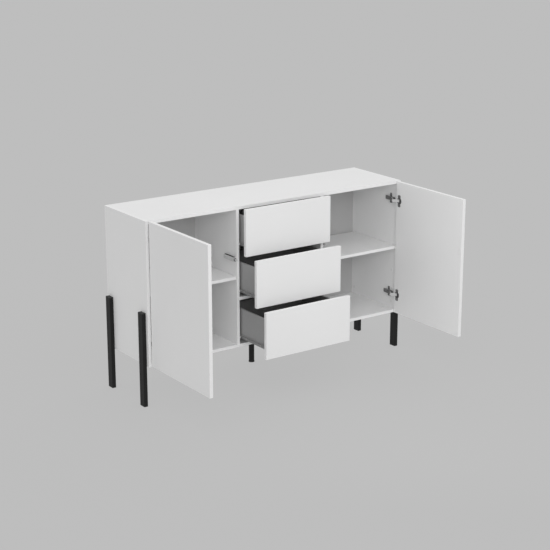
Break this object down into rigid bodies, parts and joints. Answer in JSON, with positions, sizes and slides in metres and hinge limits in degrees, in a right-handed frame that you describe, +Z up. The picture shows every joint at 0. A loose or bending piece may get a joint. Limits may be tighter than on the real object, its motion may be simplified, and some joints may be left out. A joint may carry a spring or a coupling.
{
  "type": "sideboard buffet",
  "caption": "Long low cabinet on slim legs, with hinged doors on concealed hinges at both ends, roller-borne drawers between them and loose shelves behind the doors.",
  "frame": {"origin": "on the floor, under the axis of the middle leg", "axes": "+X to the right as seen by a person who faces the doors, +Y from the front to the back, +Z up"},
  "size_m": [1.54, 0.8872, 0.9],
  "materials": {
    "white_board": "white melamine-faced board, satin",
    "back_board": "white-faced hardboard, matt",
    "drawer_board": "grey foil-wrapped board, matt",
    "black_steel": "black powder coat, satin",
    "black_plastic": "moulded, matt",
    "runner_steel": "light grey epoxy coat, satin",
    "white_steel": "white enamel, satin",
    "nylon": "moulded nylon, satin",
    "hinge_steel": "nickel-plated steel",
    "dark_hinge_steel": "dark nickel-plated steel",
    "zinc": "zinc-plated",
    "latch_plastic": "light grey moulded plastic, matt"
  },
  "bodies": {
    "carcass": {"back_panel": "back_board", "bottom_panel": "white_board", "cabinet_runners": "runner_steel", "cam_locks": "zinc", "centre_leg": "black_steel", "centre_leg_foot": "black_plastic", "drawer_rail": "white_board", "hinge_arm_caps": "dark_hinge_steel", "hinge_arms": "hinge_steel", "hinge_plates": "dark_hinge_steel", "latch_bodies": "latch_plastic", "latch_covers": "black_plastic", "left_front_leg": "black_steel", "left_partition": "white_board", "left_rear_leg": "black_steel", "left_shelf": "white_board", "left_side_panel": "white_board", "leg_bolts": "zinc", "leg_end_caps": "black_plastic", "right_front_leg": "black_steel", "right_partition": "white_board", "right_rear_leg": "black_steel", "right_shelf": "white_board", "right_side_panel": "white_board", "shelf_pins": "zinc", "top_panel": "white_board"},
    "top_drawer": {"top_drawer_front": "white_board", "top_drawer_left_side": "drawer_board", "top_drawer_right_side": "drawer_board", "top_drawer_back": "drawer_board", "top_drawer_bottom": "drawer_board", "top_drawer_runners": "runner_steel"},
    "top_drawer_rollers": {"top_drawer_rollers": "nylon"},
    "top_cabinet_rollers": {"top_cabinet_rollers": "nylon"},
    "middle_drawer": {"middle_drawer_front": "white_board", "middle_drawer_left_side": "drawer_board", "middle_drawer_right_side": "drawer_board", "middle_drawer_back": "drawer_board", "middle_drawer_bottom": "drawer_board", "middle_drawer_runners": "runner_steel"},
    "middle_drawer_rollers": {"middle_drawer_rollers": "nylon"},
    "middle_cabinet_rollers": {"middle_cabinet_rollers": "nylon"},
    "bottom_drawer": {"bottom_drawer_front": "white_board", "bottom_drawer_left_side": "drawer_board", "bottom_drawer_right_side": "drawer_board", "bottom_drawer_back": "drawer_board", "bottom_drawer_bottom": "drawer_board", "bottom_drawer_runners": "runner_steel"},
    "bottom_drawer_rollers": {"bottom_drawer_rollers": "nylon"},
    "bottom_cabinet_rollers": {"bottom_cabinet_rollers": "nylon"},
    "left_hinge_links": {"left_hinge_links": "hinge_steel"},
    "left_door": {"left_door": "white_board", "left_hinge_cups": "dark_hinge_steel", "left_strike_plate": "white_steel"},
    "left_latch_plunger": {"left_latch_plunger": "latch_plastic"},
    "right_hinge_links": {"right_hinge_links": "hinge_steel"},
    "right_door": {"right_door": "white_board", "right_hinge_cups": "dark_hinge_steel", "right_strike_plate": "white_steel"},
    "right_latch_plunger": {"right_latch_plunger": "latch_plastic"}
  },
  "joints": [
    {"name": "top_drawer_slide", "type": "slide", "parent": "carcass", "child": "top_drawer", "axis": [0, -1, 0], "range_m": [-0.049, 0.211]},
    {"name": "top_cabinet_rollers_spin", "type": "hinge", "parent": "carcass", "child": "top_cabinet_rollers", "pos_m": [0, -0.243, 0.71305], "axis": [1, 0, 0], "range_deg": [-352, 1513]},
    {"name": "top_drawer_rollers_spin", "type": "hinge", "parent": "top_drawer", "child": "top_drawer_rollers", "pos_m": [0, 0.03, 0.71305], "axis": [1, 0, 0], "range_deg": [-352, 1513]},
    {"name": "middle_drawer_slide", "type": "slide", "parent": "carcass", "child": "middle_drawer", "axis": [0, -1, 0], "range_m": [-0.1365, 0.1235]},
    {"name": "middle_cabinet_rollers_spin", "type": "hinge", "parent": "carcass", "child": "middle_cabinet_rollers", "pos_m": [0, -0.243, 0.48005], "axis": [1, 0, 0], "range_deg": [-979, 886]},
    {"name": "middle_drawer_rollers_spin", "type": "hinge", "parent": "middle_drawer", "child": "middle_drawer_rollers", "pos_m": [0, -0.0575, 0.48005], "axis": [1, 0, 0], "range_deg": [-979, 886]},
    {"name": "bottom_drawer_slide", "type": "slide", "parent": "carcass", "child": "bottom_drawer", "axis": [0, -1, 0], "range_m": [-0.2155, 0.0445]},
    {"name": "bottom_cabinet_rollers_spin", "type": "hinge", "parent": "carcass", "child": "bottom_cabinet_rollers", "pos_m": [0, -0.243, 0.24705], "axis": [1, 0, 0], "range_deg": [-1545, 320]},
    {"name": "bottom_drawer_rollers_spin", "type": "hinge", "parent": "bottom_drawer", "child": "bottom_drawer_rollers", "pos_m": [0, -0.1365, 0.24705], "axis": [1, 0, 0], "range_deg": [-1545, 320]},
    {"name": "left_link_swing", "type": "hinge", "parent": "carcass", "child": "left_hinge_links", "pos_m": [-0.702, -0.253, 0.55], "axis": [0, 0, -1], "range_deg": [-2.1, 36.95]},
    {"name": "left_door_swing", "type": "hinge", "parent": "left_hinge_links", "child": "left_door", "pos_m": [-0.72131, -0.27875, 0.55], "axis": [0, 0, -1], "range_deg": [-126.9, 7.05]},
    {"name": "left_plunger_slide", "type": "slide", "parent": "carcass", "child": "left_latch_plunger", "axis": [0, 1, 0], "range_m": [-0.001, 0.0135]},
    {"name": "right_link_swing", "type": "hinge", "parent": "carcass", "child": "right_hinge_links", "pos_m": [0.702, -0.253, 0.55], "axis": [0, 0, 1], "range_deg": [-2.1, 36.95]},
    {"name": "right_door_swing", "type": "hinge", "parent": "right_hinge_links", "child": "right_door", "pos_m": [0.72131, -0.27875, 0.55], "axis": [0, 0, 1], "range_deg": [-126.9, 7.05]},
    {"name": "right_plunger_slide", "type": "slide", "parent": "carcass", "child": "right_latch_plunger", "axis": [0, 1, 0], "range_m": [-0.001, 0.0135]}
  ],
  "couplings": [
    {"joint": "top_cabinet_rollers_spin", "follows": "top_drawer_slide", "rad_per_m": 125},
    {"joint": "top_drawer_rollers_spin", "follows": "top_drawer_slide", "rad_per_m": 125},
    {"joint": "middle_cabinet_rollers_spin", "follows": "middle_drawer_slide", "rad_per_m": 125},
    {"joint": "middle_drawer_rollers_spin", "follows": "middle_drawer_slide", "rad_per_m": 125},
    {"joint": "bottom_cabinet_rollers_spin", "follows": "bottom_drawer_slide", "rad_per_m": 125},
    {"joint": "bottom_drawer_rollers_spin", "follows": "bottom_drawer_slide", "rad_per_m": 125},
    {"joint": "left_link_swing", "follows": "left_door_swing", "ratio": -0.29078},
    {"joint": "left_plunger_slide", "follows": "left_door_swing", "m_per_rad": -0.0058695},
    {"joint": "right_link_swing", "follows": "right_door_swing", "ratio": -0.29078},
    {"joint": "right_plunger_slide", "follows": "right_door_swing", "m_per_rad": -0.0058695}
  ]
}
